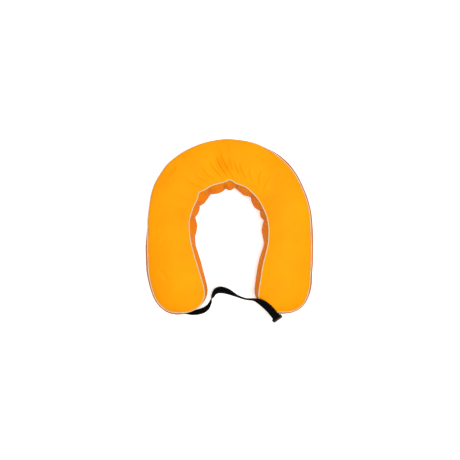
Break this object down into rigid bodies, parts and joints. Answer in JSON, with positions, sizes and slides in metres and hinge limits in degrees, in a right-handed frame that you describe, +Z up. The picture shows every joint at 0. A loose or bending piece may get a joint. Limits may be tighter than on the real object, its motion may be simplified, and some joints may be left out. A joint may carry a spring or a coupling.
{
  "type": "horseshoe life jacket",
  "caption": "Horseshoe-shaped foam buoyancy yoke in a piped fabric cover, with a webbing strap that closes the opening through a side-release buckle.",
  "frame": {"origin": "middle of the yoke's plan box, on the surface that it lies on (strap and buckle not counted)", "axes": "+Z up out of the front panel, +Y towards the crown, the gap between the leg ends faces -Y"},
  "size_m": [0.582, 0.6385, 0.1192],
  "materials": {
    "panel_fabric": "satin",
    "gusset_fabric": "satin",
    "piping": "satin",
    "foam": "matte",
    "webbing": "matte",
    "buckle_plastic": "satin"
  },
  "bodies": {
    "left_half": {"front_panel_left": "panel_fabric", "back_panel_left": "panel_fabric", "outer_gusset_left": "gusset_fabric", "inner_gusset_left": "gusset_fabric", "front_piping_left": "piping", "back_piping_left": "piping", "foam_front_left": "foam", "foam_middle_left": "foam", "foam_back_left": "foam", "strap_anchor_patch": "gusset_fabric"},
    "right_half": {"front_panel_right": "panel_fabric", "back_panel_right": "panel_fabric", "outer_gusset_right": "gusset_fabric", "inner_gusset_right": "gusset_fabric", "front_piping_right": "piping", "back_piping_right": "piping", "foam_front_right": "foam", "foam_middle_right": "foam", "foam_back_right": "foam", "strap_webbing": "webbing", "strap_free_end": "webbing", "buckle_tail": "webbing", "tail_anchor_patch": "gusset_fabric", "buckle_male_frame": "buckle_plastic"},
    "buckle_socket": {"buckle_female": "buckle_plastic"},
    "prong_left": {"buckle_prong_left": "buckle_plastic"},
    "prong_right": {"buckle_prong_right": "buckle_plastic"}
  },
  "joints": [
    {"name": "yoke_flex", "type": "hinge", "parent": "left_half", "child": "right_half", "pos_m": [0, 0.306, 0.05], "axis": [0, 0, 1], "range_deg": [0, 8], "stiffness_Nm_per_rad": 5, "deforming": ["strap_webbing"]},
    {"name": "buckle_release", "type": "slide", "parent": "right_half", "child": "buckle_socket", "axis": [0.2297, -0.3161, -0.9205], "range_m": [0, 0.028], "deforming": ["buckle_tail", "buckle_prong_left", "buckle_prong_right"]},
    {"name": "prong_squeeze_left", "type": "hinge", "parent": "right_half", "child": "prong_left", "pos_m": [0.15031, -0.32176, 0.07528], "axis": [0.5411, -0.7447, 0.3907], "range_deg": [0, 10], "stiffness_Nm_per_rad": 0.1},
    {"name": "prong_squeeze_right", "type": "hinge", "parent": "right_half", "child": "prong_right", "pos_m": [0.17053, -0.30706, 0.07528], "axis": [0.5411, -0.7447, 0.3907], "range_deg": [-10, 0], "stiffness_Nm_per_rad": 0.1}
  ],
  "couplings": [
    {"joint": "prong_squeeze_right", "follows": "prong_squeeze_left", "ratio": -1}
  ]
}
